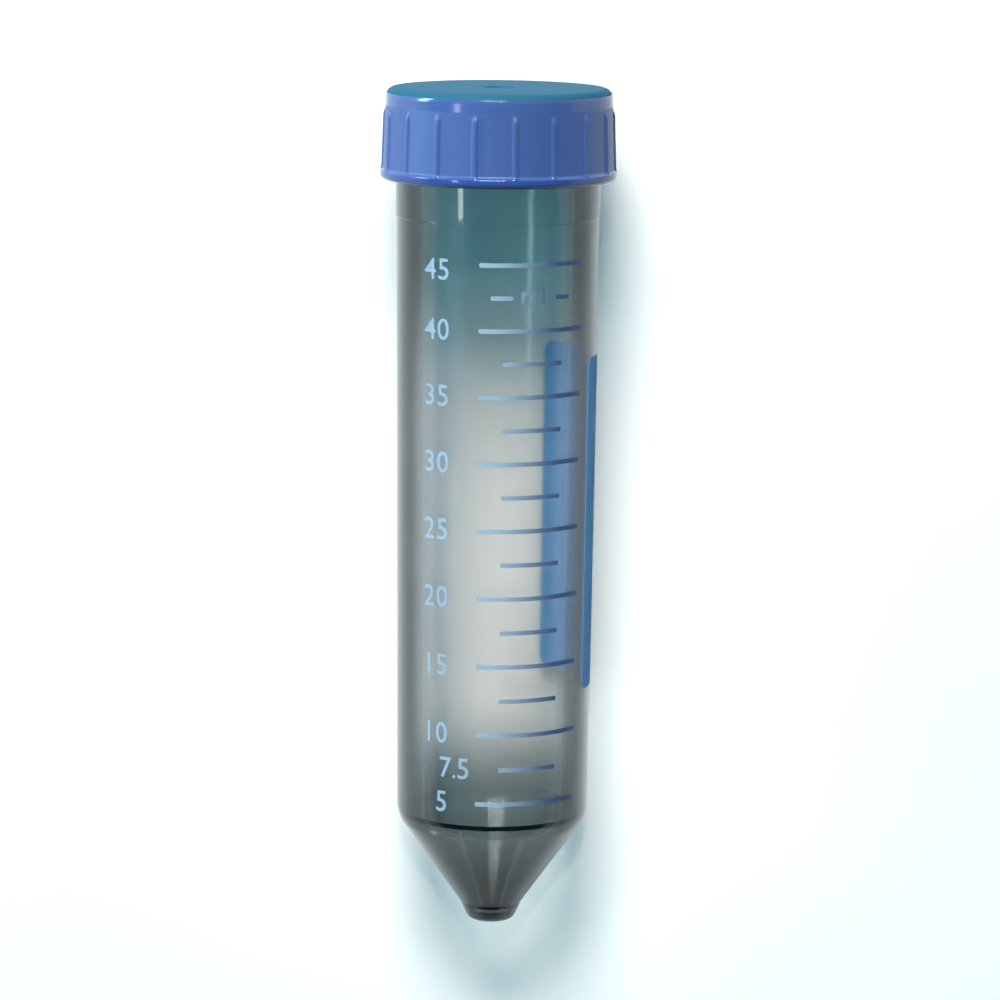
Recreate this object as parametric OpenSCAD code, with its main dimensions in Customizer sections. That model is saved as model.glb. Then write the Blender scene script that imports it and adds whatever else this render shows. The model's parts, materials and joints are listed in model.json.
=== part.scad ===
// 50 ml conical tube with a ribbed screw cap, closed and lying on its side.
//
// Every piece is drawn upright in the tube's own frame: the tip stands at z = 0, the axis is +Z
// and the printed scale faces -Y. Angles around the tube are counted from that front line,
// positive to the right. laid() then turns the whole thing onto its side, cap toward +Y and
// scale up, so that it rests on the cap's lower band and on the tube's shoulder.

/* [Tube] */
// Length of the tube from its tip to its rim
tube_l = 117.6; // [112:0.1:122]
// Outer radius of the barrel where it meets the cone
shoulder_r = 13.58; // [13:0.02:14]
// Outer radius of the barrel just below the collar
barrel_r = 14.24; // [14.1:0.02:14.6]
// Thickness of the barrel's wall
wall = 0.95; // [0.8:0.05:1.1]
// Height of the corner between the cone and the barrel
shoulder_z = 15.6; // [14:0.1:18]
// Half the angle of the cone
cone_a = 35.4; // [32:0.2:38]
// Radius that rounds the shoulder outside
shoulder_round = 5; // [2:0.5:7]

/* [Tip] */
// Height of the short foot under the cone
foot_h = 2.65; // [2:0.05:3.2]
// Half the angle of the foot's side
foot_a = 24; // [10:1:30]
// Radius that rounds the foot's lower edge
foot_round = 1.2; // [0.5:0.1:1.6]
// Thickness of the plastic under the lowest point inside
floor_t = 1.3; // [1:0.1:2]

/* [Neck] */
// Height at which the smooth collar below the cap starts
collar_z = 101; // [98:0.5:103]
// Height at which the collar ends and the neck starts
neck_z = 106.2; // [106:0.05:106.25]
// How far the collar stands out from the barrel
collar_step = 0.1; // [0.05:0.05:0.2]
// Outer radius of the neck between the turns of its thread
neck_r = 14.05; // [14:0.01:14.1]
// Radius over the crest of the thread
thread_r = 14.75; // [14.5:0.05:14.8]
// Height of one turn of the thread
thread_pitch = 3; // [2.5:0.1:3.5]
// Number of turns of the thread
thread_turns = 1.75; // [1:0.25:2]

/* [Cap] */
// Length of the closed part, from the tip to the cap's top
overall_l = 119.1; // [119:0.05:119.4]
// Height of the cap
cap_h = 12.8; // [12:0.1:13.5]
// Outer radius of the smooth band at the cap's lower edge
band_r = 16.56; // [16.4:0.02:17]
// Height of that band
band_h = 1.5; // [1:0.1:2]
// Outer radius of the cap's side just above the band
side_low_r = 16.15; // [16:0.05:16.3]
// Outer radius of the cap's side at the top edge
side_top_r = 15.78; // [15.7:0.02:15.9]
// Radius that rounds the cap's top edge
top_round = 1.3; // [0.8:0.1:1.6]
// Inner radius of the cap's skirt
skirt_in_r = 15; // [14.95:0.01:15.05]
// Number of grip ribs around the cap
rib_count = 18; // [12:1:24]
// Width of one rib
rib_w = 0.7; // [0.5:0.1:1.2]
// How far a rib stands out from the cap's side
rib_h = 0.27; // [0.2:0.01:0.35]
// Angle of the first rib to the right of the front line
rib_turn = 8.2; // [0:0.2:19.8]

/* [Print] */
// Thickness of the printed films
film = 0.04; // [0.03:0.01:0.08]
// Height of the line of a mark
mark_h = 0.62; // [0.4:0.02:0.8]
// Left end of the long marks, in degrees around the tube
long_from = -10; // [-20:1:0]
// Right end of the long marks
long_to = 55.5; // [40:0.5:60]
// Left end of the short marks
short_from = 3.5; // [0:0.5:10]
// Right end of the short marks
short_to = 39.5; // [30:0.5:50]
// Height of the numbers
number_h = 2.95; // [2.4:0.05:3.4]
// Width of one digit
number_w = 1.95; // [1.6:0.05:2.1]
// Width of the strokes that the numbers are drawn with
stroke = 0.42; // [0.3:0.02:0.5]
// Right end of the column of numbers
number_to = -27.5; // [-32:0.5:-20]
// Left end of the writing patch
patch_from = 65; // [60:1:80]
// Right end of the writing patch
patch_to = 149; // [120:1:170]
// Height of the patch's lower edge
patch_low = 34.8; // [30:0.2:40]
// Height of the patch's upper edge
patch_high = 82; // [70:0.5:90]

/* [Hidden] */
$fn = 96;

clear = "#c3cdd0";
cap_blue = "#4a6fb5";
ink_blue = "#5f97c4";
patch_blue = "#7fa9cf";

// --- Outlines: corners given as [radius, height, rounding], turned into points -------------

function unit(v) = v / norm(v);

// Centre of the circle that rounds the corner b between the sides to a and to c.
function round_centre(a, b, c, r) =
    let (u = unit(a - b), v = unit(c - b), half = acos(u * v) / 2)
    b + unit(u + v) * r / sin(half);

// Points of the arc that rounds the corner b.
function round_arc(a, b, c, r, steps = 8) =
    let (
        u = unit(a - b), v = unit(c - b), half = acos(u * v) / 2,
        centre = round_centre(a, b, c, r),
        start = b + u * r / tan(half) - centre,
        end = b + v * r / tan(half) - centre,
        from = atan2(start[1], start[0]),
        turn = atan2(start[0] * end[1] - start[1] * end[0], start * end)
    )
    [for (i = [0:steps]) centre + r * [cos(from + turn * i / steps), sin(from + turn * i / steps)]];

function flat(corner) = [corner[0], corner[1]];

// Outline with every corner that has a rounding replaced by its arc.
function outline(corners) =
    let (n = len(corners))
    [for (i = [0:n - 1])
        let (before = corners[(i + n - 1) % n], here = corners[i], after = corners[(i + 1) % n])
        each (here[2] == 0
            ? [flat(here)]
            : round_arc(flat(before), flat(here), flat(after), here[2]))];

// --- Tube: radii and volumes ---------------------------------------------------------------

barrel_slope = (barrel_r - shoulder_r) / (collar_z - shoulder_z);
function barrel_at(z) = shoulder_r + barrel_slope * (z - shoulder_z);
function cone_at(z) = shoulder_r - (shoulder_z - z) * tan(cone_a);

foot_top_r = cone_at(foot_h);
foot_r = foot_top_r - foot_h * tan(foot_a);
collar_r = barrel_r + collar_step;

// The inner cone runs parallel to the outer one and meets the bore at the inner corner.
cone_gap = wall * 0.92 / cos(cone_a);
function bore_at(z) = barrel_at(z) - wall;
inner_corner_z = shoulder_z
    + (cone_gap - wall) / (tan(cone_a) - barrel_slope);
inner_corner_r = bore_at(inner_corner_z);
inner_foot_r = cone_at(floor_t) - cone_gap;

// Volume held below the inner corner, in cubic millimetres, and the level of a larger volume:
// above the corner the bore is a very slender cone, so its cubed radius grows with the volume.
cone_volume = PI / 3 * (inner_corner_z - floor_t)
    * (inner_corner_r ^ 2 + inner_corner_r * inner_foot_r + inner_foot_r ^ 2);
function level_of(ml) =
    let (cube = inner_corner_r ^ 3 + 3 * barrel_slope * (ml * 1000 - cone_volume) / PI)
    inner_corner_z + (cube ^ (1 / 3) - inner_corner_r) / barrel_slope;

tube_corners = [
    [0, 0, 0],
    [foot_r, 0, foot_round],
    [foot_top_r, foot_h, 0.6],
    [shoulder_r, shoulder_z, shoulder_round],
    [barrel_r, collar_z, 0],
    [collar_r, collar_z + 0.25, 0],
    [collar_r, neck_z, 0],
    [neck_r, neck_z + 0.3, 0],
    [neck_r, tube_l, 0.35],
    [bore_at(tube_l), tube_l, 0.3],
    [inner_corner_r, inner_corner_z, 1],
    [inner_foot_r, floor_t, 1.6],
    [0, floor_t, 0]
];

// The thread: one ridge that climbs around the neck and fades in and out at its ends.
thread_z = neck_z + 2.9;
thread_root = 0.25;      // how deep the ridge's foot is sunk into the neck
ring_step = 10;
rings = thread_turns * 360 / ring_step;
fade_rings = 4;

// Corners of the ridge's section at one ring, in the order around it.
function thread_ring(i) =
    let (
        a = i * ring_step,
        z = thread_z + thread_pitch * a / 360,
        grown = min(1, (i + 1) / fade_rings, (rings - i + 1) / fade_rings),
        crest = neck_r + (thread_r - neck_r) * grown
    )
    [for (corner = [[neck_r - thread_root, -0.95], [crest, -0.3], [crest, 0.3], [neck_r - thread_root, 0.95]])
        [corner[0] * cos(a), corner[0] * sin(a), z + corner[1]]];

module thread() polyhedron(
    points = [for (i = [0:rings]) each thread_ring(i)],
    faces = [
        [3, 2, 1, 0],
        [for (j = [0:3]) rings * 4 + j],
        for (i = [0:rings - 1], j = [0:3])
            [i * 4 + j, i * 4 + (j + 1) % 4, (i + 1) * 4 + (j + 1) % 4, (i + 1) * 4 + j]
    ]);

module tube() laid() color(clear, 0.4) {
    rotate_extrude() polygon(outline(tube_corners));
    thread();
}

// --- Cap -----------------------------------------------------------------------------------

cap_z = overall_l - cap_h;
band_round = 0.7;
seat_z = tube_l + 0.1;         // underside of the cap's top, a tenth above the rim
plug_r = bore_at(tube_l) - 0.1;
plug_t = 0.8;
plug_h = 2.4;
mouth_r = skirt_in_r + 0.3;    // the skirt opens a little at its lower edge
gate_r = 2.4;
gate_d = 0.35;

rib_low_z = cap_z + band_h;
rib_top_z = overall_l - 3.1;
function side_at(z) = side_low_r
    + (side_top_r - side_low_r) * (z - rib_low_z) / (overall_l - rib_low_z);

cap_corners = [
    [0, seat_z, 0],
    [plug_r - plug_t, seat_z, 0.3],
    [plug_r - plug_t, seat_z - plug_h, 0.2],
    [plug_r - 0.2, seat_z - plug_h, 0.3],
    [plug_r, seat_z - 0.4, 0],
    [plug_r, seat_z, 0],
    [skirt_in_r, seat_z, 0.3],
    [skirt_in_r, cap_z + 0.8, 0],
    [mouth_r, cap_z, 0.15],
    [band_r, cap_z, band_round],
    [band_r, rib_low_z - 0.3, 0.2],
    [side_low_r, rib_low_z + 0.1, 0.3],
    [side_top_r, overall_l, top_round],
    [gate_r, overall_l, 0],
    [gate_r - 0.3, overall_l - gate_d, 0],
    [0, overall_l - gate_d, 0]
];

// One rib: a narrow sector of a thin ring whose face follows the side's slope.
module rib() {
    half_a = rib_w / 2 / side_low_r * 180 / PI;
    root = 0.2;
    rotate([0, 0, -90 - half_a])
        rotate_extrude(angle = 2 * half_a)
            polygon([
                [side_at(rib_low_z) - root, rib_low_z - 0.2],
                [side_at(rib_low_z) + rib_h, rib_low_z - 0.2],
                [side_at(rib_top_z) + rib_h, rib_top_z - 0.5],
                [side_at(rib_top_z), rib_top_z],
                [side_at(rib_top_z) - root, rib_top_z]
            ]);
}

// The cap's mesh has 128 facets around. The half facet of turn lets it lie on a flat, not on an
// edge, so it doesn't start to roll.
half_facet = 360 / 128 / 2;

module cap() laid() color(cap_blue) {
    rotate([0, 0, half_facet]) rotate_extrude() polygon(outline(cap_corners));
    for (i = [0:rib_count - 1])
        rotate([0, 0, rib_turn + i * 360 / rib_count]) rib();
}

// --- Print ---------------------------------------------------------------------------------

// Thin ring on the barrel between two heights, or a sector of it between two angles.
module film_ring(low, high, from = 0, to = 360)
    rotate([0, 0, from - 90])
        rotate_extrude(angle = to - from)
            polygon([
                [barrel_at(low), low],
                [barrel_at(low) + film, low],
                [barrel_at(high) + film, high],
                [barrel_at(high), high]
            ]);

// A small flat shape, centred on its origin, thrown outward from the axis at an angle and a
// height and kept only inside the film there: this wraps it onto the barrel.
module printed(angle, z, reach = 2.4) intersection() {
    film_ring(z - reach, z + reach, angle - 12, angle + 12);
    thrown(angle, z) children();
}

module thrown(angle, z)
    rotate([0, 0, angle]) translate([0, 0, z])
        rotate([90, 0, 0]) linear_extrude(barrel_r + 1) children();

unit_ml = 42.5;      // the short mark here is split by the unit
long_levels = [5:5:45];
short_levels = [7.5:5:37.5];

module mark(ml, from, to)
    film_ring(level_of(ml) - mark_h / 2, level_of(ml) + mark_h / 2, from, to);

module scale_marks() laid() color(ink_blue) {
    for (ml = long_levels) mark(ml, long_from, long_to);
    for (ml = short_levels) mark(ml, short_from, short_to);
    mark(unit_ml, -3.5, 8.8);
    mark(unit_ml, 35, 43.8);
}

// The numbers are strokes of one width along the paths below, in a cell of glyph_w by glyph_h
// whose middle is the origin.
glyph_w = number_w - stroke;
glyph_h = number_h - stroke;
right = glyph_w / 2;
top = glyph_h / 2;

// Step from a path's point to the edge of its stroke. A sharp corner's tip is held back.
function sideways(path, i) =
    let (
        last = len(path) - 1,
        arrive = unit(path[max(i, 1)] - path[max(i, 1) - 1]),
        leave = unit(path[min(i, last - 1) + 1] - path[min(i, last - 1)]),
        along = unit(arrive + leave)
    )
    [-along[1], along[0]] * stroke / 2 * min(1.3, 1 / (along * arrive));

module stroked(path)
    polygon([
        for (i = [0:len(path) - 1]) path[i] + sideways(path, i),
        for (i = [len(path) - 1:-1:0]) path[i] - sideways(path, i)
    ]);

function arc(centre, r, from, to, steps = 6) =
    [for (i = [0:steps]) let (a = from + (to - from) * i / steps) centre + r * [cos(a), sin(a)]];

// The nought: a straight-sided ring.
module nought(out) {
    r = right + out;
    polygon([
        each arc([0, top - right], r, 0, 180),
        each arc([0, right - top], r, 180, 360)
    ]);
}

bowl_r = glyph_h * 0.29;
cheek_r = glyph_h / 4;

PATHS = [
    [],
    [[[-0.35, top - 0.5], [0.15, top], [0.15, -top]]],
    [[each arc([0, top - right], right, 170, -35), [-right, -top], [right, -top]]],
    [
        [[-right, top], each arc([right - cheek_r, cheek_r], cheek_r, 90, -90), [-0.25, 0]],
        [[-0.2, 0], each arc([right - cheek_r, -cheek_r], cheek_r, 80, -90), [-right, -top]]
    ],
    [
        [[0.3, top], [-right, -0.55], [right, -0.55]],
        [[0.4, top], [0.4, -top]]
    ],
    [[
        [right, top], [0.1 - right, top], [-right, 2 * bowl_r - top],
        each arc([right - bowl_r, bowl_r - top], bowl_r, 90, -90), [-right, -top]
    ]],
    [],
    [[[-right, top], [right, top], [-0.2, -top]]]
];

module digit(n) {
    if (n == 0) difference() {
        nought(stroke / 2);
        nought(-stroke / 2);
    }
    for (path = PATHS[n]) stroked(path);
}

// The unit: a small m with an l beside it, as high as its m_top and l_top.
m_top = 0.55;
l_top = 1;
m_r = 0.45;
module unit_m() {
    stroked([[-2 * m_r, -0.75], [-2 * m_r, m_top]]);
    for (x = [-m_r, m_r])
        stroked([[x - m_r, m_top - m_r], each arc([x, m_top - m_r], m_r, 170, 0), [x + m_r, -0.75]]);
}
module unit_l() stroked([[0, -0.75], [0, l_top]]);

digit_gap = 0.3;
point_gap = 0.75;
top_number_drop = 0.8;
half_step_to = -13.5;      // the one half-step number stands closer to its mark

// Angle that a width takes on the barrel.
function angle_of(width) = width / barrel_r * 180 / PI;

// A digit whose right edge is a given width to the left of an angle, centred on a level.
module placed(n, edge, back, z)
    printed(edge - angle_of(back + number_w / 2), z) digit(n);

module number(ml, edge, z) {
    placed(ml % 10, edge, 0, z);
    if (ml >= 10) placed(floor(ml / 10), edge, number_w + digit_gap, z);
}

module scale_numbers() laid() color(ink_blue) {
    for (ml = long_levels)
        number(ml, number_to, level_of(ml) - (ml == 45 ? top_number_drop : 0));
    placed(5, half_step_to, 0, level_of(7.5));
    printed(half_step_to - angle_of(number_w + point_gap / 2), level_of(7.5) - top)
        square(stroke, center = true);
    placed(7, half_step_to, number_w + point_gap, level_of(7.5));
    printed(18, level_of(unit_ml)) unit_m();
    printed(28, level_of(unit_ml)) unit_l();
}

patch_round = 1.4;

// What is cut from a square corner at the origin to round it. The arc runs a little past both
// edges, so that it crosses them.
module corner_bit()
    polygon([
        [-0.5, -0.5], [patch_round, -0.5],
        each arc([patch_round, patch_round], patch_round + 0.05, 270, 180),
        [-0.5, patch_round]
    ]);

module writing_patch() laid() color(patch_blue) difference() {
    film_ring(patch_low, patch_high, patch_from, patch_to);
    for (side = [0, 1], end = [0, 1])
        thrown(side == 0 ? patch_from : patch_to, end == 0 ? patch_low : patch_high)
            mirror([side, 0]) mirror([0, end]) corner_bit();
}

// --- Lying pose ----------------------------------------------------------------------------

// The part rests on two rounded edges, the shoulder's and the cap band's. The line that
// touches both circles gives the tilt of the axis; the cap end is the higher one.
shoulder_c = round_centre([foot_top_r, foot_h], [shoulder_r, shoulder_z],
    [barrel_r, collar_z], shoulder_round);
band_c = [band_r - band_round, cap_z + band_round];
foot_c = round_centre([0, 0], [foot_r, 0], [foot_top_r, foot_h], foot_round);
top_c = round_centre([side_low_r, rib_low_z + 0.1], [side_top_r, overall_l],
    [gate_r, overall_l], top_round);

between = band_c - shoulder_c;
tilt = atan2(between[0], between[1]) + asin((band_round - shoulder_round) / norm(between));
lift = band_round + band_c[0] * cos(tilt) - band_c[1] * sin(tilt);
far_y = top_c[1] * cos(tilt) + top_c[0] * sin(tilt) + top_round;
near_y = foot_c[1] * cos(tilt) - foot_c[0] * sin(tilt) - foot_round;

module laid()
    translate([0, -(far_y + near_y) / 2, lift])
        rotate([tilt - 90, 0, 0]) children();

tube();
cap();
scale_marks();
scale_numbers();
writing_patch();
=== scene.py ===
# %% [markdown]
# # A 50 ml conical tube
#
# The part is a clear, moulded laboratory tube with a blue screw cap, lying on its side with its
# printed scale up. The construction model comes from model.glb and model.json. This script
# dresses it: it turns the same outlines again as smooth meshes, gives them clear plastic,
# moulded cap plastic and ink, and sets up a floor, lamps and a camera.
#
# We start by loading the imported model. Everything is in metres, and the imported record tells us
# where the tube's axis runs, so nothing has to be fitted by eye.

import json
import math
from math import cos, pi, radians, sin, tan

import bmesh
import bpy
from mathutils import Matrix, Vector


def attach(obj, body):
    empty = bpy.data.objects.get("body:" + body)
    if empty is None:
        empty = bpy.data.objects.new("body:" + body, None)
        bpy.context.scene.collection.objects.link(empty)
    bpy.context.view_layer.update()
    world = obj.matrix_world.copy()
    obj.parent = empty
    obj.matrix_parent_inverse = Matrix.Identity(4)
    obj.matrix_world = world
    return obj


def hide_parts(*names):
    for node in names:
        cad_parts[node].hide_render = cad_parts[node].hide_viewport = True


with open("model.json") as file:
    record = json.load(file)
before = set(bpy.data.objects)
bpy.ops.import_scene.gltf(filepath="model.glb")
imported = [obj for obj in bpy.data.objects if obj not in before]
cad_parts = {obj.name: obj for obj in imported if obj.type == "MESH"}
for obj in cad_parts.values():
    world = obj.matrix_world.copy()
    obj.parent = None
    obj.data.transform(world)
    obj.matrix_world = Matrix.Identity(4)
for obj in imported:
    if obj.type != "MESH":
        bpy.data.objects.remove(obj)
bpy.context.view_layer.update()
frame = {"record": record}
MM = 0.001

# %% [markdown]
# ## The tube's own frame
#
# A turned part is easiest to draw upright: radius to the right, height upward, the tip at zero.
# The record's rack_seat mount is a point on the axis with the direction toward the tip, so it
# fixes the matrix that lays the drawing down. In the tube's own frame +Z is the axis and -Y is
# the front line, the one that faces up once the tube lies down.

# %% Where the tube lies
SEAT_HEIGHT = 103.725 * MM  # height of the rack seat's middle above the tip

seat = next(m for m in frame["record"]["mounts"] if m["name"] == "rack_seat")
axis = -Vector(seat["axis"]).normalized()
right = Vector((1, 0, 0))
front = right.cross(axis)  # from the axis toward the printed scale
tip = Vector(seat["pos_m"]) - axis * SEAT_HEIGHT
LAID = Matrix.Translation(tip) @ Matrix((right, -front, axis)).transposed().to_4x4()
print("tip at", tuple(round(v, 4) for v in tip), "axis", tuple(round(v, 4) for v in axis))

# %% [markdown]
# ## The camera
#
# The tube is seen from its front, so from above now that it lies down. A long lens a good arm's
# length away keeps the barrel's sides nearly parallel. The camera stands above the upper half
# of the tube and looks a little down along it, which opens the ellipses toward the tip.

# %% Camera
CAMERA_AT = Vector((0.0007, -0.5988, 0.1607))  # in the tube's own frame
CAMERA_PITCH = radians(9.47)  # toward the tip
CAMERA_ROLL = radians(0.63)
SENSOR = 36.0
LENS = 154.5

camera_data = bpy.data.cameras.new("camera")
camera_data.sensor_width = SENSOR
camera_data.lens = LENS
camera_data.clip_end = 10
camera = bpy.data.objects.new("camera", camera_data)
bpy.context.collection.objects.link(camera)
aim = Matrix.Rotation(pi / 2 - CAMERA_PITCH, 4, "X") @ Matrix.Rotation(CAMERA_ROLL, 4, "Z")
camera.matrix_world = LAID @ Matrix.Translation(CAMERA_AT) @ aim
bpy.context.scene.camera = camera
bpy.context.scene.view_settings.view_transform = "Standard"
print("camera at", tuple(round(v, 3) for v in camera.matrix_world.translation), "lens", LENS)

# %% [markdown]
# ## Sizes that the pieces share
#
# The barrel is a very slender cone, so its radius is a straight line over the height. Both the
# tube and its print need it, and a function keeps them together. The mesh's outside sits a
# hundredth of a millimetre under the print, so that no two faces coincide: where clear plastic
# and ink share a face, rays can't tell which comes first.

# %% Shared sizes
SHOULDER = (13.58 * MM, 15.6 * MM)  # radius and height of the corner over the cone
COLLAR = (14.24 * MM, 101 * MM)  # the same where the barrel meets the collar
COLLAR_STEP = 0.1 * MM
WALL = 0.95 * MM
NECK_Z = 106.2 * MM
NECK_R = 14.05 * MM
RIM_Z = 117.6 * MM
CONE_ANGLE = radians(35.4)  # between the cone's side and the axis
CONE_SLOPE = tan(CONE_ANGLE)
INK_GAP = 0.01 * MM
BARREL_SLOPE = (COLLAR[0] - SHOULDER[0]) / (COLLAR[1] - SHOULDER[1])


def barrel_at(z):
    """Outer radius of the barrel at a height above the tip."""
    return SHOULDER[0] + BARREL_SLOPE * (z - SHOULDER[1])


def cone_at(z):
    """Outer radius of the cone."""
    return SHOULDER[0] - (SHOULDER[1] - z) * CONE_SLOPE


def bore_at(z):
    """Inner radius of the barrel."""
    return barrel_at(z) - WALL


print("bore across half way up:", round(2 * bore_at(RIM_Z / 2) / MM, 2), "mm")

# %% [markdown]
# ## Turning an outline
#
# Moulded round parts are surfaces of revolution. A handful of corners, each with the radius
# that rounds it, says all there is to say. We make the corners as vertices joined by edges,
# round them with the bevel operator, cut long stretches where they need rows, and spin the
# line around the axis. Where the line starts and ends on the axis, merging doubles closes it.


# %% From corners to a turned surface
def outline_mesh(corners):
    """A wire of the given (radius, height, rounding) corners, with the rounded ones bevelled."""
    bm = bmesh.new()
    verts = [bm.verts.new((r, 0, z)) for r, z, _ in corners]
    for a, b in zip(verts, verts[1:]):
        bm.edges.new((a, b))
    for vert, (_, _, rounding) in zip(verts, corners):
        if rounding:
            before, after = [e.other_vert(vert).co - vert.co for e in vert.link_edges]
            reach = rounding / tan(before.angle(after) / 2)
            bmesh.ops.bevel(
                bm, geom=[vert], offset=reach, offset_type="OFFSET", segments=8,
                profile=0.5, affect="VERTICES", material=-1,
            )
    return bm


def spin_outline(bm, steps):
    """Spins a wire around the axis into a closed surface whose faces point outwards."""
    bmesh.ops.spin(
        bm, geom=bm.verts[:] + bm.edges[:], cent=(0, 0, 0), axis=(0, 0, 1),
        dvec=(0, 0, 0), angle=2 * pi, steps=steps, use_merge=True,
    )
    bmesh.ops.remove_doubles(bm, verts=bm.verts[:], dist=1e-6)
    bmesh.ops.recalc_face_normals(bm, faces=bm.faces[:])


# %% [markdown]
# ## From a mesh to a piece
#
# Every piece ends in the same way. The drawing is laid down in the mesh itself, so the object
# stays at the origin, unturned. Then the piece gets its material, is hung on the body that it
# moves with, and the solids of the construction model that it stands in for are hidden.


# %% Finishing a piece
def finish_piece(bm, name, material, body, slot, *nodes):
    """Lays the mesh down, gives it its material, hangs it on its body and hides the nodes it stands in
    for; slot is not used.
    """
    bmesh.ops.transform(bm, matrix=LAID, verts=bm.verts[:])
    mesh = bpy.data.meshes.new(name)
    bm.to_mesh(mesh)
    bm.free()
    mesh.polygons.foreach_set("use_smooth", [True] * len(mesh.polygons))
    mesh.materials.append(material)
    piece = bpy.data.objects.new(name, mesh)
    bpy.context.collection.objects.link(piece)
    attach(piece, body)
    if nodes:
        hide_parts(*nodes)
    print(f"{name}: {len(mesh.polygons)} faces")
    return piece


# %% [markdown]
# ## Materials
#
# The object has two plastics and two inks. Each gets its small unevenness from noise on the
# Object coordinates, which stay still on the piece from every side. A few helpers keep the
# node trees short: each adds its nodes and returns the socket that holds their result.


# %% Helpers for node materials
def new_material(name):
    """An empty node material with its output."""
    material = bpy.data.materials.new(name)
    material.use_nodes = True
    tree = material.node_tree
    tree.nodes.clear()
    return material, tree, tree.nodes.new("ShaderNodeOutputMaterial")


def feed(tree, socket, value):
    """Links another node's socket to this one, or sets a plain value on it."""
    if isinstance(value, bpy.types.NodeSocket):
        tree.links.new(value, socket)
    else:
        socket.default_value = value


def calculate(tree, kind, operation, *values):
    """A Math or VectorMath node fed with numbers, vectors or other nodes' sockets."""
    node = tree.nodes.new(f"ShaderNode{kind}")
    node.operation = operation
    for socket, value in zip(node.inputs, values):
        feed(tree, socket, value)
    return node


def on_piece(tree):
    """Places on the piece, in metres."""
    return tree.nodes.new("ShaderNodeTexCoord").outputs["Object"]


def noise_on_piece(tree, scale, detail, stretch=(1, 1, 1)):
    """A noise pattern in the piece's own coordinates."""
    mapping = tree.nodes.new("ShaderNodeMapping")
    mapping.inputs["Scale"].default_value = stretch
    pattern = tree.nodes.new("ShaderNodeTexNoise")
    pattern.inputs["Scale"].default_value = scale
    pattern.inputs["Detail"].default_value = detail
    tree.links.new(on_piece(tree), mapping.inputs["Vector"])
    tree.links.new(mapping.outputs["Vector"], pattern.inputs["Vector"])
    return pattern.outputs["Fac"]


# %% Helpers that ramp, blend and mix
def ramp(tree, value, start, end, first=0.0, last=1.0, smooth=True):
    """Maps a value onto a range: first up to start, last from end on."""
    node = tree.nodes.new("ShaderNodeMapRange")
    node.interpolation_type = "SMOOTHSTEP" if smooth else "LINEAR"
    node.inputs["From Min"].default_value = start
    node.inputs["From Max"].default_value = end
    node.inputs["To Min"].default_value = first
    node.inputs["To Max"].default_value = last
    tree.links.new(value, node.inputs["Value"])
    return node.outputs["Result"]


def spread(tree, noise, low, high):
    """Maps the middle of a noise pattern onto a range."""
    return ramp(tree, noise, 0.3, 0.7, low, high, smooth=False)


def blend(tree, factor, a, b):
    """Blends from a to b, each of them a colour or another node's socket."""
    node = tree.nodes.new("ShaderNodeMix")
    node.data_type = "RGBA"
    tree.links.new(factor, node.inputs["Factor"])
    for name, colour in (("A", a), ("B", b)):
        feed(tree, node.inputs[name], (*colour, 1) if isinstance(colour, tuple) else colour)
    return node.outputs["Result"]


def mix_shaders(tree, factor, a, b):
    """The shader a where the factor is 0 and b where it is 1."""
    node = tree.nodes.new("ShaderNodeMixShader")
    for socket, value in zip(node.inputs, (factor, a, b)):
        tree.links.new(value, socket)
    return node.outputs["Shader"]


def bump(tree, noise, distance, strength=0.3):
    """A shallow bump from a noise pattern."""
    node = tree.nodes.new("ShaderNodeBump")
    node.inputs["Strength"].default_value = strength
    node.inputs["Distance"].default_value = distance
    tree.links.new(noise, node.inputs["Height"])
    return node.outputs["Normal"]


# %% [markdown]
# ### Where on the tube
#
# A moulded part can have another finish in one zone, such as a satin side between two glossy
# bands. The zones follow the tube's axis, and the dot product of a place with the axis is its
# height along it. The height of the tip has to be added, because the coordinates start at the
# frame's origin, half way along the tube.

# %% Zones
TIP_ALONG_AXIS = tip.dot(axis)


def height_along_axis(tree):
    """Height along the tube's axis, counted from the frame's origin."""
    return calculate(tree, "VectorMath", "DOT_PRODUCT", on_piece(tree), axis).outputs["Value"]


def between(tree, low, high):
    """1 between two heights above the tip and 0 elsewhere."""
    middle = TIP_ALONG_AXIS + (low + high) / 2
    inside = calculate(
        tree, "Math", "COMPARE", height_along_axis(tree), middle, (high - low) / 2
    )
    return inside.outputs["Value"]


def fading(tree, full, gone):
    """1 from one height above the tip on, fading to 0 at a second one above or below it."""
    return ramp(tree, height_along_axis(tree), TIP_ALONG_AXIS + full, TIP_ALONG_AXIS + gone, 1, 0)


def to_the_right(tree, start, end):
    """0 up to a distance to the right of the tube's axis, rising to 1 at a second distance."""
    split = tree.nodes.new("ShaderNodeSeparateXYZ")
    tree.links.new(on_piece(tree), split.inputs["Vector"])
    return ramp(tree, split.outputs["X"], start, end)


def nearer_than(tree, radius):
    """1 closer to the tube's axis than a radius and 0 farther out."""
    from_tip = calculate(tree, "VectorMath", "SUBTRACT", on_piece(tree), tip).outputs["Vector"]
    across = calculate(tree, "VectorMath", "CROSS_PRODUCT", from_tip, axis).outputs["Vector"]
    distance = calculate(tree, "VectorMath", "LENGTH", across).outputs["Value"]
    return calculate(tree, "Math", "LESS_THAN", distance, radius).outputs["Value"]


print("the tip lies", round(TIP_ALONG_AXIS / MM, 2), "mm along the axis")
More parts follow.
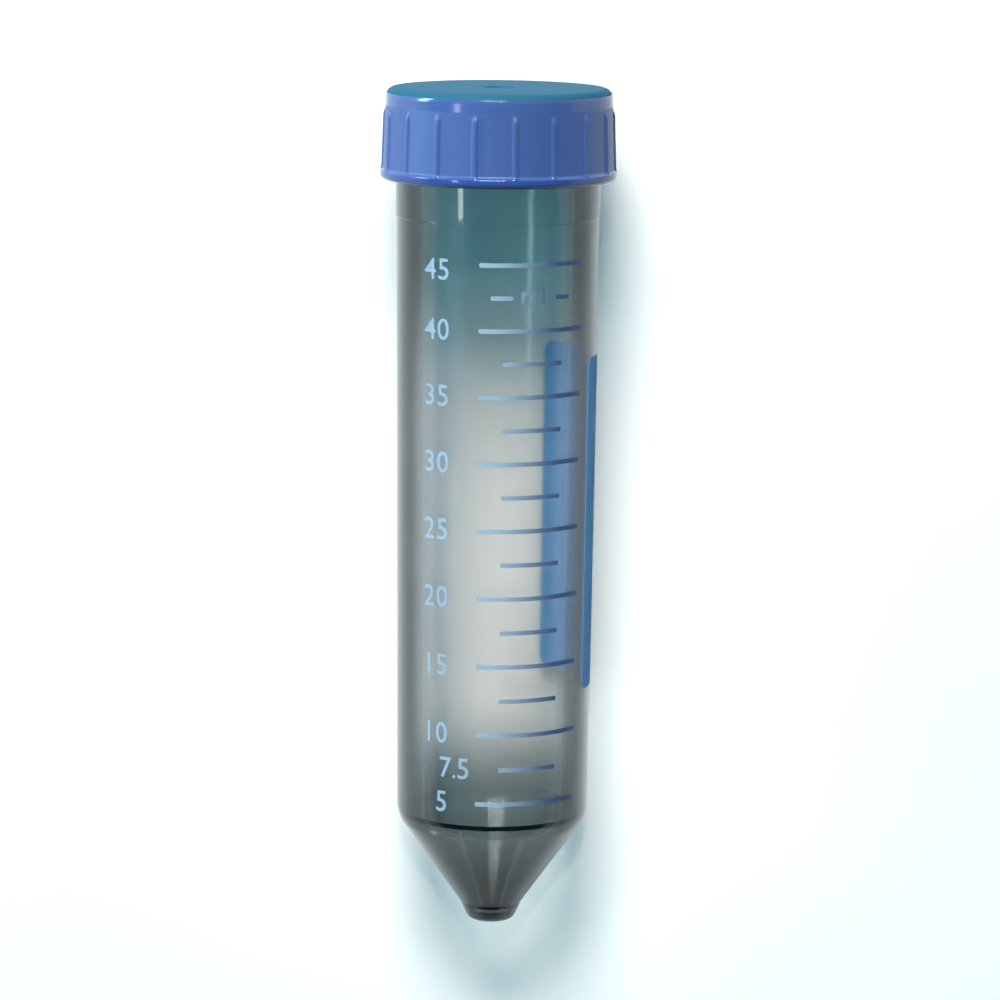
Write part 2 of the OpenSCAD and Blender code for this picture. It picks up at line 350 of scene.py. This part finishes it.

# %% [markdown]
# ### Clear plastic
#
# The tube is clear, faintly smoky polypropylene: all transmission, with an absorption inside
# the wall. A clear round tube looks dark along its sides, where a ray runs through the plastic
# for longer and bends away. The wall is too thin for the absorption to do that alone, so the
# shader's colour, which tints a ray at each crossing, carries painted shade that deepens with
# the slant at which the surface is met. Three zones carry more painted shade, blended in along
# the axis: blue-green toward the neck, smoky in the cone, and darkest in the foot.
#
# The bore is a little hazy, as it is where a moulding core slides out of it. For shadow rays the
# plastic turns into a tinted transparent, so that lamps reach the print and the floor.

# %% Clear plastic
# Painted shade at the sides: the colours that the tint reaches where the wall is met at a slant.
PAINTED_SIDE_SHADE = (0.025, 0.04, 0.055)  # where the barrel is met at a slant
PAINTED_CONE_SIDE_SHADE = (0.03, 0.04, 0.045)
BORE_HAZE = 0.06  # added to the roughness
BORE_ALL_INSIDE = 13.45 * MM  # a radius between the bore's and the barrel's, at every height


def tinted_by_slant(tree, start, end, facing, edge):
    """A tint for one crossing of the surface, deeper where the surface is met at a slant."""
    slant = tree.nodes.new("ShaderNodeLayerWeight")
    slant.inputs["Blend"].default_value = 0.5
    return blend(tree, ramp(tree, slant.outputs["Facing"], start, end), facing, edge)


def tube_tint(tree):
    """The barrel's tint with painted shade at its sides, blended into the painted shade of the neck,
    the cone and the foot.
    """
    tint = tinted_by_slant(tree, 0.22, 0.62, (0.97, 0.955, 0.94), PAINTED_SIDE_SHADE)
    # Painted shade: blue-green toward the neck, smoky in the cone, darkest in the foot.
    neck = tinted_by_slant(tree, 0.1, 0.5, (0.75, 0.93, 0.95), (0.025, 0.04, 0.05))
    cone = tinted_by_slant(tree, 0.18, 0.7, (0.46, 0.5, 0.5), PAINTED_CONE_SIDE_SHADE)
    foot = tinted_by_slant(tree, 0.18, 0.7, (0.15, 0.18, 0.18), PAINTED_CONE_SIDE_SHADE)
    for zone, full, gone in ((neck, 98, 72), (cone, 15.5, 31), (foot, 5, 15)):
        tint = blend(tree, fading(tree, full * MM, gone * MM), tint, zone)
    return tint


def tube_roughness(tree, flow):
    """A glossy outside and a hazier bore."""
    inside = nearer_than(tree, BORE_ALL_INSIDE)
    bore = calculate(tree, "Math", "MULTIPLY", inside, between(tree, SHOULDER[1], RIM_Z))
    gloss = spread(tree, flow, 0.03, 0.08)
    haze = calculate(tree, "Math", "MULTIPLY_ADD", bore.outputs["Value"], BORE_HAZE, gloss)
    return haze.outputs["Value"]


# %% Clear plastic put together
def clear_plastic():
    material, tree, output = new_material("clear_polypropylene")
    flow = noise_on_piece(tree, 90, 2, (1, 0.25, 1))  # drawn out along the tube
    plastic = tree.nodes.new("ShaderNodeBsdfPrincipled")
    plastic.inputs["Transmission Weight"].default_value = 1.0
    plastic.inputs["IOR"].default_value = 1.49
    tree.links.new(tube_tint(tree), plastic.inputs["Base Color"])
    tree.links.new(tube_roughness(tree, flow), plastic.inputs["Roughness"])
    tree.links.new(bump(tree, flow, 0.00003), plastic.inputs["Normal"])

    shade = tinted_by_slant(tree, 0.38, 0.75, (0.96, 0.96, 0.95), (0.5, 0.55, 0.58))
    let_through = tree.nodes.new("ShaderNodeBsdfTransparent")
    tree.links.new(shade, let_through.inputs["Color"])
    shadow = tree.nodes.new("ShaderNodeLightPath").outputs["Is Shadow Ray"]
    both = mix_shaders(tree, shadow, plastic.outputs["BSDF"], let_through.outputs["BSDF"])
    tree.links.new(both, output.inputs["Surface"])

    smoke = tree.nodes.new("ShaderNodeVolumeAbsorption")
    smoke.inputs["Color"].default_value = (0.77, 0.78, 0.79, 1)
    smoke.inputs["Density"].default_value = 1000.0
    tree.links.new(smoke.outputs["Volume"], output.inputs["Volume"])
    return material


CLEAR = clear_plastic()
print("made", CLEAR.name)

# %% [markdown]
# ### Cap plastic and inks
#
# The cap is blue polyethylene, with a glossy band at its lower edge. Its ribbed side is satin
# and paler, a painted sheen; the rounded edge above it is glossier and a little lighter again,
# and the flat top is matt and greener, a painted reflection. The scale's ink is pale at the
# numbers, and painted shade deepens it toward the right ends of the marks. The writing patch
# has to take a pen, so its ink is matt. All of them start from one moulded finish, and a zone
# then swaps the roughness and colour where it applies.


# %% Opaque finishes
def opaque_finish(name, colour, lighter, roughness, grain):
    """A faint cloudiness in the colour and a fine skin on the gloss."""
    material, tree, output = new_material(name)
    shader = tree.nodes.new("ShaderNodeBsdfPrincipled")
    cloud = noise_on_piece(tree, 130, 3)
    tree.links.new(blend(tree, cloud, colour, lighter), shader.inputs["Base Color"])
    tree.links.new(spread(tree, cloud, *roughness), shader.inputs["Roughness"])
    skin = noise_on_piece(tree, grain, 2)
    tree.links.new(bump(tree, skin, 0.00002, 0.25), shader.inputs["Normal"])
    shader.inputs["IOR"].default_value = 1.5
    tree.links.new(shader.outputs["BSDF"], output.inputs["Surface"])
    return material, tree, shader


def refinish(tree, shader, where, roughness, colour):
    """Swaps the roughness and the colour where a zone is 1."""
    for name, value in (("Roughness", (roughness,) * 3), ("Base Color", colour)):
        plain = shader.inputs[name].links[0].from_socket
        tree.links.new(blend(tree, where, plain, value), shader.inputs[name])


# %% Cap plastic
CAP_BLUE_AND_PAINTED_REFLECTIONS, tree, shader = opaque_finish(
    "cap_polyethylene", (0.026, 0.072, 0.29), (0.034, 0.086, 0.32), (0.07, 0.12), 2600
)
shader.inputs["Specular IOR Level"].default_value = 0.45
# The ribbed side's paler colour is a painted sheen, and the top's greener colour is a painted
# reflection.
for low, high, roughness, colour in (
    (107.8, 116.6, 0.42, (0.047, 0.105, 0.32)),  # ribbed side
    (116.6, 118.3, 0.14, (0.055, 0.115, 0.34)),  # rounded edge
    (118.3, 119.3, 0.8, (0.006, 0.1, 0.18)),  # top
):
    refinish(tree, shader, between(tree, low * MM, high * MM), roughness, colour)
print("made", CAP_BLUE_AND_PAINTED_REFLECTIONS.name)

# %% Inks
SCALE_INK_WITH_PAINTED_SHADE, tree, shader = opaque_finish(
    "scale_ink", (0.25, 0.375, 0.51), (0.3, 0.44, 0.58), (0.35, 0.5), 5200
)
# Painted shade: toward the right ends of the marks the ink deepens to navy and turns rougher.
refinish(tree, shader, to_the_right(tree, -1 * MM, 10.5 * MM), 0.5, (0.015, 0.05, 0.16))
PATCH_INK, tree, shader = opaque_finish(
    "patch_ink", (0.12, 0.35, 0.7), (0.16, 0.4, 0.76), (0.55, 0.7), 4200
)
shader.inputs["Specular IOR Level"].default_value = 0.1
print("made", SCALE_INK_WITH_PAINTED_SHADE.name, PATCH_INK.name)

# %% [markdown]
# ## The tube
#
# One outline runs from the foot up the outside, over the rim and down the bore, so the spun
# surface is one closed wall of true thickness, and light bends twice in it as in the real one.
# Where the cone begins, a small step runs around the bore. It is what draws the dark rings that
# one sees there through the wall.

# %% Sizes of the tube
FOOT_H = 2.65 * MM
FOOT_ANGLE = radians(24)
FLOOR_T = 1.3 * MM
CONE_GAP = 0.92 * WALL / cos(CONE_ANGLE)  # from the cone's outside to its inside, across the axis
FOOT_TOP_R = cone_at(FOOT_H)
FOOT_R = FOOT_TOP_R - FOOT_H * tan(FOOT_ANGLE)
BORE_CORNER_Z = SHOULDER[1] + (CONE_GAP - WALL) / (CONE_SLOPE - BARREL_SLOPE)
STEP_Z = SHOULDER[1] + 0.95 * MM
STEP_H = 0.7 * MM
STEP_R = bore_at(STEP_Z) - 0.85 * MM
CONE_START_Z = SHOULDER[1] - (SHOULDER[0] - CONE_GAP - STEP_R) / CONE_SLOPE


def tube_outline():
    outside = [
        (0, 0, 0),
        (FOOT_R, 0, 1.2 * MM),
        (FOOT_TOP_R, FOOT_H, 0.6 * MM),
        (SHOULDER[0] - INK_GAP, SHOULDER[1], 5 * MM),
        (COLLAR[0] - INK_GAP, COLLAR[1], 0.3 * MM),
        (COLLAR[0] + COLLAR_STEP, COLLAR[1] + 0.25 * MM, 0.3 * MM),
        (COLLAR[0] + COLLAR_STEP, NECK_Z, 0.15 * MM),
        (NECK_R, NECK_Z + 0.3 * MM, 0.1 * MM),
        (NECK_R, RIM_Z, 0.35 * MM),
    ]
    inside = [
        (bore_at(RIM_Z), RIM_Z, 0.3 * MM),
        (bore_at(STEP_Z), STEP_Z, 0.2 * MM),
        (STEP_R, STEP_Z - STEP_H, 0.2 * MM),
        (STEP_R, CONE_START_Z, 0.4 * MM),
        (cone_at(FLOOR_T) - CONE_GAP, FLOOR_T, 2.1 * MM),
        (0, FLOOR_T, 0),
    ]
    return outside + inside


print("foot across:", round(2 * FOOT_R / MM, 2), "mm, step in the bore at", round(STEP_Z / MM, 2), "mm")

# %% [markdown]
# ### The thread
#
# The neck's stretch of the outline is cut into rows before the spin. Afterwards the thread is
# raised out of them: each vertex steps outward by how near it lies to a line that climbs one
# pitch a turn. The thread stays part of the wall that way, with no second piece stuck into the
# plastic. The same helper draws the cap's thread, with a step that goes inward.

# %% Thread
THREAD_PITCH = 3 * MM
THREAD_Z = NECK_Z + 2.9 * MM
THREAD_TURNS = 1.75
THREAD_DEPTH = 0.7 * MM
THREAD_SHAPE = (0.95 * MM, 0.3 * MM)  # half width of the ridge at its root and at its crest
THREAD_FADE = 40 / 360  # part of a turn over which the ridge grows at each end


def cut_rows(bm, r, low, high, cuts):
    """Divides the outline's straight stretch at a radius, between two heights, into rows."""
    edges = [
        e for e in bm.edges
        if all(abs(v.co.x - r) < 1e-5 and low < v.co.z < high for v in e.verts)
    ]
    bmesh.ops.subdivide_edges(bm, edges=edges, cuts=cuts)


def raise_thread(bm, r, low, high, step, start, turns, shape):
    """Moves the rows at a radius in or out along a line that climbs from a start height."""
    root, crest = shape
    for v in bm.verts:
        x, y, z = v.co
        if abs(math.hypot(x, y) - r) > 1e-5 or not low < z < high:
            continue
        turn = (math.atan2(y, x) % (2 * pi)) / (2 * pi)
        travelled = turn + round((z - start) / THREAD_PITCH - turn)
        away = abs(z - start - THREAD_PITCH * travelled)
        flank = min(1.0, max(0.0, (root - away) / (root - crest)))
        from_end = min(travelled, turns - travelled)
        ends = min(1.0, max(0.0, from_end / THREAD_FADE))
        grown = r + step * flank * ends
        v.co.x, v.co.y = x * grown / r, y * grown / r


# %% Tube
tube_bm = outline_mesh(tube_outline())
cut_rows(tube_bm, NECK_R, NECK_Z, RIM_Z, 80)
spin_outline(tube_bm, 240)
raise_thread(
    tube_bm, NECK_R, NECK_Z + 0.5 * MM, RIM_Z - 0.5 * MM,
    THREAD_DEPTH, THREAD_Z, THREAD_TURNS, THREAD_SHAPE,
)
finish_piece(tube_bm, "tube_wall", CLEAR, "tube", "clear_plastic", "tube")

# %% [markdown]
# ## The cap
#
# The cap is turned like the tube. Its outline starts in the middle of the underside and runs
# over the plug ring, down the skirt, around the lower edge, up the side and over the top to a
# small recess at its centre, where the moulding's gate was.

# %% Sizes of the cap
CAP_TOP = 119.1 * MM
CAP_LOW = CAP_TOP - 12.8 * MM
BAND = (16.56 * MM, CAP_LOW + 1.5 * MM)  # radius and upper edge of the band round the skirt
SIDE_LOW_R = 16.15 * MM
SIDE_TOP_R = 15.78 * MM
SKIRT_R = 15 * MM
SEAT_Z = RIM_Z + 0.1 * MM
PLUG_R = bore_at(RIM_Z) - 0.1 * MM
PLUG_H = 2.4 * MM
GATE_R = 2.4 * MM
GATE_DEPTH = 0.35 * MM


def cap_outline():
    inside = [
        (0, SEAT_Z, 0),
        (PLUG_R - 0.8 * MM, SEAT_Z, 0.3 * MM),
        (PLUG_R - 0.8 * MM, SEAT_Z - PLUG_H, 0.2 * MM),
        (PLUG_R - 0.2 * MM, SEAT_Z - PLUG_H, 0.3 * MM),
        (PLUG_R, SEAT_Z - 0.4 * MM, 0),
        (PLUG_R, SEAT_Z, 0),
        (SKIRT_R, SEAT_Z, 0.3 * MM),
        (SKIRT_R, CAP_LOW + 0.8 * MM, 0),
        (SKIRT_R + 0.3 * MM, CAP_LOW, 0.15 * MM),
    ]
    outside = [
        (BAND[0], CAP_LOW, 0.7 * MM),
        (BAND[0], BAND[1] - 0.3 * MM, 0.2 * MM),
        (SIDE_LOW_R, BAND[1] + 0.1 * MM, 0.3 * MM),
        (SIDE_TOP_R, CAP_TOP, 1.3 * MM),
        (GATE_R, CAP_TOP, 0.15 * MM),
        (GATE_R - 0.3 * MM, CAP_TOP - GATE_DEPTH, 0.1 * MM),
        (0, CAP_TOP - GATE_DEPTH, 0),
    ]
    return inside + outside


print("cap:", round(2 * BAND[0] / MM, 2), "mm across")

# %% [markdown]
# ### The ribs
#
# The ribs are raised out of the side in the same way as the thread. There are eighteen equal
# sectors, and the spun columns of each are first moved together around its rib. That keeps the
# rib's edges crisp, while the smooth panels between them stay cheap.

# %% Ribs
RIBS = 18
RIB_PITCH = 2 * pi / RIBS
RIB_TURN = radians(8.2)  # the first rib to the right of the front line
RIB_H = 0.27 * MM
RIB_TOP = CAP_TOP - 3.1 * MM
RIB_END = 0.7 * MM  # height over which a rib's upper end is rounded off
RIB_ROOT = radians(1.5)  # half the rib's angle at its root
RIB_FLANK = radians(0.45)  # the angle that one flank takes
# Angles of a sector's columns in degrees, counted from the middle of its rib
COLUMNS = (-10, -7, -4.5, -2.8, -1.9, -1.45, -1.1, -0.55, 0, 0.55, 1.1, 1.45, 1.9, 2.8, 4.5, 7)


def crowd_columns(bm):
    """Moves the spun columns around so that they gather at the ribs."""
    for v in bm.verts:
        r = math.hypot(v.co.x, v.co.y)
        if r < 1e-6:
            continue
        count = round(math.atan2(v.co.y, v.co.x) / (RIB_PITCH / len(COLUMNS)))
        sector, column = divmod(count, len(COLUMNS))
        angle = RIB_TURN - pi / 2 + sector * RIB_PITCH + radians(COLUMNS[column])
        v.co.x, v.co.y = r * cos(angle), r * sin(angle)


def raise_ribs(bm):
    """Lifts each rib out of the cap's side, with sloping flanks and a rounded upper end."""
    for v in bm.verts:
        x, y, z = v.co
        r = math.hypot(x, y)
        if r < SIDE_TOP_R - 0.2 * MM or not BAND[1] < z < RIB_TOP:
            continue
        off = (math.atan2(y, x) + pi / 2 - RIB_TURN + RIB_PITCH / 2) % RIB_PITCH - RIB_PITCH / 2
        flank = min(1.0, max(0.0, (RIB_ROOT - abs(off)) / RIB_FLANK))
        end = min(1.0, math.sqrt(max(0.0, (RIB_TOP - z) / RIB_END)))
        grown = r + RIB_H * flank * end
        v.co.x, v.co.y = x * grown / r, y * grown / r


# %% [markdown]
# ### Spinning the cap
#
# The side's long stretch is cut into rows as well, so that the ribs' upper ends are round. The
# mating thread is drawn inward on the skirt's inside, half a pitch away from the neck's, so the
# two mesh when the cap is on.

# %% Cap
cap_bm = outline_mesh(cap_outline())
cut_rows(cap_bm, SKIRT_R, CAP_LOW, SEAT_Z, 60)
side = [
    e for e in cap_bm.edges
    if min(v.co.z for v in e.verts) > BAND[1]
    and e.calc_length() > 5 * MM
    and e.verts[0].co.x > SKIRT_R
]
bmesh.ops.subdivide_edges(cap_bm, edges=side, cuts=36)
spin_outline(cap_bm, RIBS * len(COLUMNS))
crowd_columns(cap_bm)
raise_ribs(cap_bm)
raise_thread(
    cap_bm, SKIRT_R, CAP_LOW + 1 * MM, SEAT_Z - 0.4 * MM,
    -0.6 * MM, THREAD_Z + THREAD_PITCH / 2, 1.5, (0.7 * MM, 0.25 * MM),
)
finish_piece(cap_bm, "cap_moulding", CAP_BLUE_AND_PAINTED_REFLECTIONS, "cap", "cap_plastic", "cap")

# %% [markdown]
# ## The print
#
# Screen print lies on the barrel as a film a few hundredths of a millimetre thick. The heights
# of the marks aren't measured anywhere: they follow from the volume that the cone and the bore
# hold. The cone's part is a frustum. Above it the bore is a very slender cone, so the cube of
# its radius grows evenly with the volume.

# %% Levels of the volumes
UNIT_ML = 42.5  # the short mark here is split by the unit
LONG_MARKS = [5 * i for i in range(1, 10)]
SHORT_MARKS = [7.5 + 5 * i for i in range(7)]

bore_corner_r = bore_at(BORE_CORNER_Z)
foot_bore_r = cone_at(FLOOR_T) - CONE_GAP
CONE_VOLUME = (
    pi / 3 * (BORE_CORNER_Z - FLOOR_T)
    * (bore_corner_r**2 + bore_corner_r * foot_bore_r + foot_bore_r**2)
)


def level_of(ml):
    """Height at which the tube holds a volume in millilitres."""
    cube = bore_corner_r**3 + 3 * BARREL_SLOPE * (ml * 1e-6 - CONE_VOLUME) / pi
    return BORE_CORNER_Z + (cube ** (1 / 3) - bore_corner_r) / BARREL_SLOPE


print("25 ml stands at", round(level_of(25) / MM, 2), "mm")

# %% [markdown]
# ### From a flat drawing to a wrapped film
#
# All of the print is drawn flat first, as it would be on the screen: x is the length around the
# barrel from the front line and y the height above the tip. Then one function cuts the flat
# shapes into narrow strips, gives them thickness and wraps them around.

# %% Wrapping flat print
FILM = 0.05 * MM
STRIP = 0.35 * MM


def around(degrees):
    """Length around the barrel from the front line."""
    return radians(degrees) * COLLAR[0]


def wrap(bm, name, material, slot, *nodes):
    """Cuts a flat drawing into strips, thickens it and wraps it onto the barrel."""
    low = min(v.co.x for v in bm.verts)
    high = max(v.co.x for v in bm.verts)
    for i in range(1, math.ceil((high - low) / STRIP)):
        bmesh.ops.bisect_plane(
            bm, geom=bm.verts[:] + bm.edges[:] + bm.faces[:],
            plane_co=(low + i * STRIP, 0, 0), plane_no=(1, 0, 0), dist=1e-7,
        )
    bmesh.ops.solidify(bm, geom=bm.faces[:], thickness=-FILM)
    floor = min(v.co.z for v in bm.verts)
    for v in bm.verts:
        angle = v.co.x / COLLAR[0]
        r = barrel_at(v.co.y) + v.co.z - floor
        v.co = (r * sin(angle), -r * cos(angle), v.co.y)
    bmesh.ops.recalc_face_normals(bm, faces=bm.faces[:])
    piece = finish_piece(bm, name, material, "tube", slot, *nodes)
    piece.data.polygons.foreach_set("use_smooth", [False] * len(piece.data.polygons))
    return piece


def rectangle(bm, left, right_end, low, high, rounding):
    """A flat rectangle in the drawing, with its corners rounded."""
    size = Matrix.Diagonal(((right_end - left) / 2, (high - low) / 2, 1, 1))
    place = Matrix.Translation(((left + right_end) / 2, (low + high) / 2, 0))
    made = bmesh.ops.create_grid(bm, x_segments=1, y_segments=1, size=1, matrix=place @ size)
    bmesh.ops.bevel(
        bm, geom=made["verts"], offset=rounding, offset_type="OFFSET", segments=6,
        profile=0.5, affect="VERTICES", material=-1,
    )


# %% Marks
MARK_H = 0.62 * MM
LONG_SPAN = (-10, 55.5)  # degrees to the right of the front line
SHORT_SPAN = (3.5, 39.5)
UNIT_SPANS = ((-3.5, 8.8), (35, 43.8))


def mark(bm, ml, span):
    z = level_of(ml)
    start, end = span
    rectangle(bm, around(start), around(end), z - MARK_H / 2, z + MARK_H / 2, 0.08 * MM)


marks_bm = bmesh.new()
for ml in LONG_MARKS:
    mark(marks_bm, ml, LONG_SPAN)
for ml in SHORT_MARKS:
    mark(marks_bm, ml, SHORT_SPAN)
for span in UNIT_SPANS:
    mark(marks_bm, UNIT_ML, span)
wrap(marks_bm, "printed_marks", SCALE_INK_WITH_PAINTED_SHADE, "scale_ink", "scale_marks")

# %% Writing patch
patch_bm = bmesh.new()
rectangle(patch_bm, around(65), around(149), 34.8 * MM, 82 * MM, 1.4 * MM)
wrap(patch_bm, "printed_patch", PATCH_INK, "patch_ink", "writing_patch")

# %% [markdown]
# ### The numbers
#
# The numbers are set with Blender's own typeface. A text object becomes a flat mesh, is scaled
# to the height that the printed digits have, and joins the drawing.


# %% Letters
def letter(bm, words, centre, middle, height, bolder=0.005):
    """Adds flat letters of a given height to the drawing, around a point."""
    curve = bpy.data.curves.new("letters", "FONT")
    curve.body = words
    curve.resolution_u = 4
    curve.offset = bolder
    text = bpy.data.objects.new("letters", curve)
    bpy.context.collection.objects.link(text)
    flat = text.evaluated_get(bpy.context.evaluated_depsgraph_get()).to_mesh()
    xs = [v.co.x for v in flat.vertices]
    ys = [v.co.y for v in flat.vertices]
    scale = Matrix.Scale(height / (max(ys) - min(ys)), 4)
    centred = Matrix.Translation((-(max(xs) + min(xs)) / 2, -(max(ys) + min(ys)) / 2, 0))
    before = len(bm.verts)
    bm.from_mesh(flat)
    bm.verts.ensure_lookup_table()
    place = Matrix.Translation((centre, middle, 0)) @ scale @ centred
    bmesh.ops.transform(bm, matrix=place, verts=bm.verts[before:])
    text.to_mesh_clear()
    bpy.data.objects.remove(text)


# %% Numbers
NUMBER_H = 2.95 * MM
DIGIT_W = 1.95 * MM
DIGIT_PITCH = 2.25 * MM
NUMBERS_TO = around(-27.5)  # right end of the column of numbers
HALF_STEP_TO = around(-13.5)  # right end of the 7.5, which is set farther in
TOP_DROP = 0.8 * MM  # the topmost number sits a little under its mark


def number(bm, words, right_end, middle):
    """Sets digits side by side, the last one ending at a length around the barrel."""
    for i, digit in enumerate(reversed(words)):
        letter(bm, digit, right_end - DIGIT_W / 2 - i * DIGIT_PITCH, middle, NUMBER_H)


numbers_bm = bmesh.new()
for ml in LONG_MARKS:
    drop = TOP_DROP if ml == LONG_MARKS[-1] else 0
    number(numbers_bm, str(ml), NUMBERS_TO, level_of(ml) - drop)
half = level_of(7.5)
point_x = HALF_STEP_TO - DIGIT_W - 0.4 * MM
number(numbers_bm, "5", HALF_STEP_TO, half)
letter(numbers_bm, ".", point_x, half - NUMBER_H / 2 + 0.25 * MM, 0.5 * MM)
number(numbers_bm, "7", point_x - 0.4 * MM, half)
letter(numbers_bm, "m", around(18), level_of(UNIT_ML) + 0.1 * MM, 1.6 * MM, 0.03)
letter(numbers_bm, "l", around(27), level_of(UNIT_ML) + 0.4 * MM, 2.2 * MM, 0.03)
bmesh.ops.remove_doubles(numbers_bm, verts=numbers_bm.verts[:], dist=1e-6)
wrap(numbers_bm, "printed_numbers", SCALE_INK_WITH_PAINTED_SHADE, "scale_ink", "scale_numbers")

# %% [markdown]
# ## The floor
#
# The tube lies on a white floor. To anything that looks at it, directly, through the plastic or
# in a reflection, the floor is white card that takes the object's shadow. To bounced light it is
# a dark grey, so it doesn't fill the shaded side of the cap. The lamps only reach the floor
# around the tube, so the card has a glow of its own that grows with the distance, and a low
# view sees it white up to the horizon.

# %% What rays see
PALE = (0.9, 0.92, 0.93)  # the far floor and the backdrop at the horizon


def seen_directly(tree):
    """1 for camera rays, reflections and what is seen through clear plastic."""
    path = tree.nodes.new("ShaderNodeLightPath")
    total = path.outputs["Is Camera Ray"]
    for name in ("Is Glossy Ray", "Is Transmission Ray"):
        total = calculate(tree, "Math", "MAXIMUM", total, path.outputs[name]).outputs["Value"]
    return total


# %% Floor finish
def card(tree, grey):
    """Matt card of one grey."""
    shader = tree.nodes.new("ShaderNodeBsdfDiffuse")
    shader.inputs["Color"].default_value = (grey, grey, grey, 1)
    return shader.outputs["BSDF"]


def floor_card():
    material, tree, output = new_material("floor_white")
    away = calculate(tree, "VectorMath", "LENGTH", on_piece(tree)).outputs["Value"]
    glow = tree.nodes.new("ShaderNodeEmission")
    colour = blend(tree, ramp(tree, away, 0.12, 0.7), (0.04, 0.085, 0.1), PALE)
    tree.links.new(colour, glow.inputs["Color"])
    white = tree.nodes.new("ShaderNodeAddShader")
    tree.links.new(card(tree, 1), white.inputs[0])
    tree.links.new(glow.outputs["Emission"], white.inputs[1])
    both = mix_shaders(tree, seen_directly(tree), card(tree, 0.15), white.outputs["Shader"])
    tree.links.new(both, output.inputs["Surface"])
    return material


# %% Floor
floor_bm = bmesh.new()
bmesh.ops.create_grid(floor_bm, x_segments=1, y_segments=1, size=3)
floor_mesh = bpy.data.meshes.new("floor")
floor_bm.to_mesh(floor_mesh)
floor_bm.free()
floor_mesh.materials.append(floor_card())
floor = bpy.data.objects.new("floor", floor_mesh)
bpy.context.collection.objects.link(floor)
print("floor:", tuple(round(v, 1) for v in floor.dimensions), "m")

# %% [markdown]
# ## The world
#
# The world lights the object only faintly, in blue-green. What looks at it directly, through
# the plastic or in a reflection sees a backdrop: pale at the horizon, where it carries the floor
# on, and dark blue-green above, so that the glossy edges keep their contrast.

# %% World
world = bpy.data.worlds.new("world")
bpy.context.scene.world = world
world.use_nodes = True
tree = world.node_tree
tree.nodes.clear()

ambient = tree.nodes.new("ShaderNodeBackground")
ambient.inputs["Color"].default_value = (0.35, 0.85, 1, 1)
ambient.inputs["Strength"].default_value = 0.15

direction = tree.nodes.new("ShaderNodeSeparateXYZ")
seen_from = tree.nodes.new("ShaderNodeTexCoord")
tree.links.new(seen_from.outputs["Generated"], direction.inputs["Vector"])
backdrop = tree.nodes.new("ShaderNodeBackground")
rise = ramp(tree, direction.outputs["Z"], 0.1, 0.35)
tree.links.new(blend(tree, rise, PALE, (0.05, 0.13, 0.15)), backdrop.inputs["Color"])

both = mix_shaders(
    tree, seen_directly(tree), ambient.outputs["Background"], backdrop.outputs["Background"]
)
output = tree.nodes.new("ShaderNodeOutputWorld")
tree.links.new(both, output.inputs["Surface"])
print("world:", len(tree.nodes), "nodes")

# %% [markdown]
# ## Lamps
#
# Each lamp has one job. The softbox stands beyond the cap and gives the general light. A round
# bar never mirrors what lies past its end, so it leaves no streak on the barrel, and it throws
# the cap's shadow on the floor under the top of the tube, which then shows dark through the
# plastic. A narrow spot brightens the floor under the middle of the barrel. It stands well
# toward the cap's end, because the step in the bore throws light that comes from near the
# camera straight back as a bright bar. The side lamp shapes the left of the cap and the print.


# %% Lamps
def hang(data, place, aim_at):
    """Hangs a lamp at a point in world space, aimed at another."""
    light = bpy.data.objects.new(data.name, data)
    bpy.context.collection.objects.link(light)
    turn = (Vector(aim_at) - Vector(place)).to_track_quat("-Z", "Y")
    light.matrix_world = Matrix.Translation(place) @ turn.to_matrix().to_4x4()
    print(f"lamp {data.name}: {data.energy:.4g} W")
    return light


def area_lamp(name, place, aim_at, size, watts, colour=(1, 1, 1)):
    """A rectangular lamp that the camera doesn't see."""
    data = bpy.data.lights.new(name, "AREA")
    data.shape = "RECTANGLE"
    data.size, data.size_y = size
    data.energy = watts
    data.color = colour
    hang(data, place, aim_at).visible_camera = False


def spot_lamp(name, place, aim_at, degrees, watts, colour):
    """A narrow lamp with a soft edge."""
    data = bpy.data.lights.new(name, "SPOT")
    data.spot_size = radians(degrees)
    data.spot_blend = 0.9
    data.shadow_soft_size = 0.03
    data.energy = watts
    data.color = colour
    hang(data, place, aim_at)


middle = LAID @ Vector((0, 0, 60 * MM))
area_lamp("softbox", (-0.1, 0.82, 0.72), middle, (0.4, 0.4), 16.5, (1, 0.97, 0.93))
area_lamp("side", (-1.0, 0.38, 0.14), middle, (0.5, 0.2), 9, (0.55, 0.88, 1))
under_middle = LAID @ Vector((0, 14 * MM, 42 * MM))  # on the floor behind the barrel
spot_lamp("spot", LAID @ Vector((0, -1.0, 0.55)), under_middle, 5.2, 14, (1, 0.88, 0.78))

# %% [markdown]
# ### The streak
#
# The thin bright streak on the cap and the collar is the mirror image of a small lamp. We don't
# have to search for its place. We choose the point where the streak should lie, mirror the
# direction to the camera in the surface there, and hang the lamp along the mirrored line.

# %% Streak
STREAK_ANGLE = radians(-21)  # to the left of the front line
STREAK_HEIGHT = 108 * MM
STREAK_DISTANCE = 0.5
STREAK_LIFT = 31 * MM  # moves the streak's lower end up to the collar's edge

normal = Vector((sin(STREAK_ANGLE), -cos(STREAK_ANGLE), 0))
streak = normal * COLLAR[0] + Vector((0, 0, STREAK_HEIGHT))
to_camera = (CAMERA_AT - streak).normalized()
mirrored = 2 * normal * normal.dot(to_camera) - to_camera
streak_lamp = streak + mirrored * STREAK_DISTANCE + Vector((0, 0, STREAK_LIFT))
area_lamp("streak", LAID @ streak_lamp, LAID @ streak, (0.11, 0.05), 0.15)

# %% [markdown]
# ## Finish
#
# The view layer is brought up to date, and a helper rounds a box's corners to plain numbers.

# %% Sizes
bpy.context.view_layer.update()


def plain(box):
    return [[round(float(v), 6) for v in corner] for corner in box]
